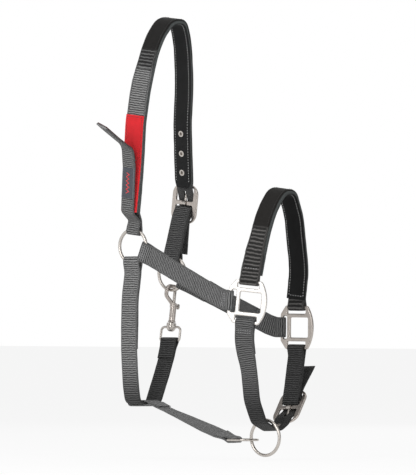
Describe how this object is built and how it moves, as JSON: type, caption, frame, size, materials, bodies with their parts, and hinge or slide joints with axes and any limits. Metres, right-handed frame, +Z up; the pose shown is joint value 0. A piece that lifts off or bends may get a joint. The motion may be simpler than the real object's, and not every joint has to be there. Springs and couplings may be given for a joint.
{
  "type": "head halter",
  "caption": "Padded webbing head halter with a hook-and-loop safety tab, pin buckles, a bolt snap at the throat, halter squares and loose rings.",
  "frame": {"origin": "underside of the crown's top, where it rests on the poll", "axes": "+X towards the nose, +Y the horse's left, +Z up"},
  "size_m": [0.2419, 0.1961, 0.5479],
  "materials": {
    "webbing": "ribbed nylon webbing",
    "lining": "smooth padded lining",
    "red_patch": "hook-and-loop pile",
    "label": "woven label",
    "hardware": "satin nickel plating"
  },
  "bodies": {
    "headstall": {"crown_webbing": "webbing", "crown_lining": "lining", "crown_eyelets": "hardware", "hook_and_loop_patch": "red_patch", "crown_billet": "webbing", "crown_buckle_frame": "hardware", "safety_tab": "webbing", "tab_label": "label", "noseband_webbing": "webbing", "noseband_lining": "lining", "right_cheek_strap": "webbing", "left_cheek_strap": "webbing", "right_square": "hardware", "left_square": "hardware", "chin_strap": "webbing", "chin_eyelet": "hardware", "chin_billet": "webbing", "chin_buckle_frame": "hardware", "jowl_strap": "webbing", "throat_strap": "webbing", "snap_swivel_eye": "hardware"},
    "right_cheek_ring": {"right_cheek_ring": "hardware"},
    "left_cheek_ring": {"left_cheek_ring": "hardware"},
    "chin_ring": {"chin_ring": "hardware"},
    "jowl_link": {"jowl_link": "hardware"},
    "crown_buckle_tongue": {"crown_buckle_tongue": "hardware"},
    "chin_buckle_tongue": {"chin_buckle_tongue": "hardware"},
    "snap_body": {"snap_body": "hardware", "snap_spring": "hardware"},
    "snap_bolt": {"snap_bolt": "hardware"},
    "safety_tab_end": {"safety_tab_end": "webbing", "tab_hook_strip": "red_patch"}
  },
  "joints": [
    {"name": "right_ring_spin", "type": "hinge", "parent": "headstall", "child": "right_cheek_ring", "pos_m": [-0.0325, -0.0396, -0.278], "axis": [0, 1, 0], "continuous": true},
    {"name": "left_ring_spin", "type": "hinge", "parent": "headstall", "child": "left_cheek_ring", "pos_m": [-0.0325, 0.0396, -0.312], "axis": [0, 1, 0], "continuous": true},
    {"name": "chin_ring_swing", "type": "hinge", "parent": "headstall", "child": "chin_ring", "pos_m": [0.16039, -0.01875, -0.49718], "axis": [1, 0, 0], "range_deg": [-12, 12]},
    {"name": "jowl_link_hinge", "type": "hinge", "parent": "headstall", "child": "jowl_link", "pos_m": [0.11149, -0.01875, -0.51828], "axis": [0, -1, 0], "range_deg": [0, 6]},
    {"name": "crown_tongue_hinge", "type": "hinge", "parent": "headstall", "child": "crown_buckle_tongue", "pos_m": [-0.02613, 0.0574, -0.22348], "axis": [-0.9932, 0, 0.1161], "range_deg": [0, 42]},
    {"name": "chin_tongue_hinge", "type": "hinge", "parent": "headstall", "child": "chin_buckle_tongue", "pos_m": [0.15911, 0.03231, -0.47852], "axis": [0.9994, 0, 0.0349], "range_deg": [0, 42]},
    {"name": "snap_swivel", "type": "hinge", "parent": "headstall", "child": "snap_body", "pos_m": [-0.0325, 0.04295, -0.34927], "axis": [0, 0.1719, 0.9851], "range_deg": [0, 38]},
    {"name": "snap_bolt_slide", "type": "slide", "parent": "snap_body", "child": "snap_bolt", "axis": [0, -0.1719, -0.9851], "range_m": [0, 0.007], "stiffness_N_per_m": 150, "springref_m": -0.004, "deforming": ["snap_spring"]},
    {"name": "tab_peel", "type": "hinge", "parent": "headstall", "child": "safety_tab_end", "pos_m": [-0.02049, -0.0616, -0.17531], "axis": [0.9932, 0, -0.1161], "range_deg": [-8, 60]}
  ]
}
